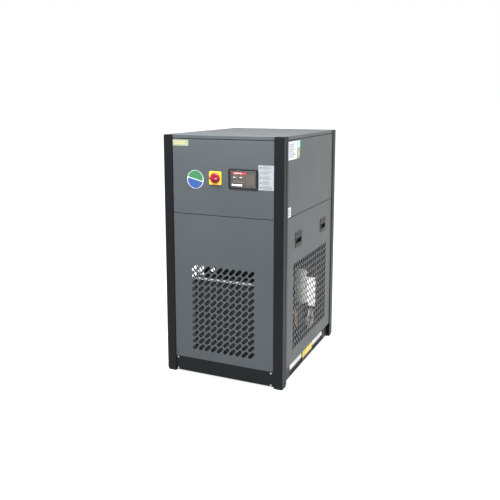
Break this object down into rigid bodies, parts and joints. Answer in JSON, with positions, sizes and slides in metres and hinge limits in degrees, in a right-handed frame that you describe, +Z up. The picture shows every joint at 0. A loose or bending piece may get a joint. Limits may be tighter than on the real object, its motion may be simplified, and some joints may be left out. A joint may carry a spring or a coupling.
{
  "type": "refrigerated air dryer",
  "caption": "Floor-standing compressed-air dryer: steel cabinet on corner posts with a main switch, touch screen, grilled panels and a refrigeration circuit inside.",
  "frame": {"origin": "on the floor, at the centre of the cabinet's footprint", "axes": "+X to the right as seen from the front, +Y from the front with the touch screen towards the rear, +Z up"},
  "size_m": [0.77, 1.056, 1.47],
  "materials": {
    "painted_grey": "satin powder coat, blue grey",
    "painted_black": "satin powder coat, near black",
    "galvanised": "galvanised sheet",
    "rubber": "matt",
    "black_plastic": "fine moulded grain",
    "yellow_plastic": "gloss",
    "red_plastic": "gloss",
    "grey_plastic": "moulded",
    "screen_glass": "polished cover of a touch screen, opaque",
    "fin_stock": "closely stacked fins, dull",
    "compressor_black": "semi-gloss enamel",
    "aluminium": "cast",
    "vessel_grey": "satin enamel",
    "brass": "machined",
    "copper": "drawn copper tube",
    "foam": "closed-cell insulation foam",
    "label": "printed vinyl with no lettering",
    "screw_steel": "zinc plated"
  },
  "bodies": {
    "cabinet": {"front_left_post": "painted_black", "front_right_post": "painted_black", "rear_left_post": "painted_black", "rear_right_post": "painted_black", "right_base_rail": "painted_black", "left_base_rail": "painted_black", "front_plinth": "painted_black", "rear_plinth": "painted_black", "fan_shroud": "painted_black", "front_left_foot": "rubber", "front_right_foot": "rubber", "rear_left_foot": "rubber", "rear_right_foot": "rubber", "base_deck": "galvanised", "mid_shelf": "galvanised", "control_plate": "galvanised", "condenser_frame": "galvanised", "compressor_base": "galvanised", "top_cover": "painted_grey", "front_upper_panel": "painted_grey", "front_lower_panel": "painted_grey", "rear_upper_panel": "painted_grey", "rear_lower_panel": "painted_grey", "right_upper_panel": "painted_grey", "left_upper_panel": "painted_grey", "screen_bezel": "black_plastic", "cable_gland": "black_plastic", "compressor_terminal_box": "black_plastic", "condensate_drain": "black_plastic", "main_switch_plate": "yellow_plastic", "main_switch_body": "grey_plastic", "contactor": "grey_plastic", "terminal_block": "grey_plastic", "screen_glass": "screen_glass", "condenser_core": "fin_stock", "fan_motor": "compressor_black", "compressor_shell": "compressor_black", "liquid_receiver": "vessel_grey", "filter_drier": "brass", "air_inlet_pipe": "brass", "air_outlet_pipe": "brass", "drain_ball_valve": "brass", "suction_pipe": "copper", "discharge_pipe": "copper", "liquid_pipe": "copper", "drain_pipe": "copper", "heat_exchanger": "foam"},
    "switch_handle": {"main_switch_handle": "red_plastic"},
    "fan": {"fan_impeller": "aluminium"},
    "valve_lever": {"drain_valve_lever": "red_plastic"},
    "right_side_panel": {"right_lower_panel": "painted_grey", "right_front_latch_frame": "black_plastic", "right_rear_latch_frame": "black_plastic"},
    "right_front_latch": {"right_front_latch_paddle": "black_plastic"},
    "right_rear_latch": {"right_rear_latch_paddle": "black_plastic"},
    "left_side_panel": {"left_lower_panel": "painted_grey", "left_front_latch_frame": "black_plastic", "left_rear_latch_frame": "black_plastic"},
    "left_front_latch": {"left_front_latch_paddle": "black_plastic"},
    "left_rear_latch": {"left_rear_latch_paddle": "black_plastic"}
  },
  "joints": [
    {"name": "main_switch_turn", "type": "hinge", "parent": "cabinet", "child": "switch_handle", "pos_m": [-0.041, -0.51, 1.2255], "axis": [0, 1, 0], "range_deg": [0, 90]},
    {"name": "fan_spin", "type": "hinge", "parent": "cabinet", "child": "fan", "pos_m": [0, -0.3654, 0.3571], "axis": [0, 1, 0], "continuous": true},
    {"name": "drain_lever_turn", "type": "hinge", "parent": "cabinet", "child": "valve_lever", "pos_m": [0.075, 0.4403, 0.2066], "axis": [0, 0, -1], "range_deg": [0, 90]},
    {"name": "right_panel_lift_off", "type": "slide", "parent": "cabinet", "child": "right_side_panel", "axis": [1, 0, 0], "range_m": [0, 0.15]},
    {"name": "left_panel_lift_off", "type": "slide", "parent": "cabinet", "child": "left_side_panel", "axis": [-1, 0, 0], "range_m": [0, 0.15]},
    {"name": "right_front_latch_pull", "type": "hinge", "parent": "right_side_panel", "child": "right_front_latch", "pos_m": [0.3795, -0.243, 0.8815], "axis": [0, -1, 0], "range_deg": [0, 25], "stiffness_Nm_per_rad": 0.06},
    {"name": "right_rear_latch_pull", "type": "hinge", "parent": "right_side_panel", "child": "right_rear_latch", "pos_m": [0.3795, 0.243, 0.8815], "axis": [0, -1, 0], "range_deg": [0, 25], "stiffness_Nm_per_rad": 0.06},
    {"name": "left_front_latch_pull", "type": "hinge", "parent": "left_side_panel", "child": "left_front_latch", "pos_m": [-0.3795, -0.243, 0.8815], "axis": [0, 1, 0], "range_deg": [0, 25], "stiffness_Nm_per_rad": 0.06},
    {"name": "left_rear_latch_pull", "type": "hinge", "parent": "left_side_panel", "child": "left_rear_latch", "pos_m": [-0.3795, 0.243, 0.8815], "axis": [0, 1, 0], "range_deg": [0, 25], "stiffness_Nm_per_rad": 0.06}
  ]
}
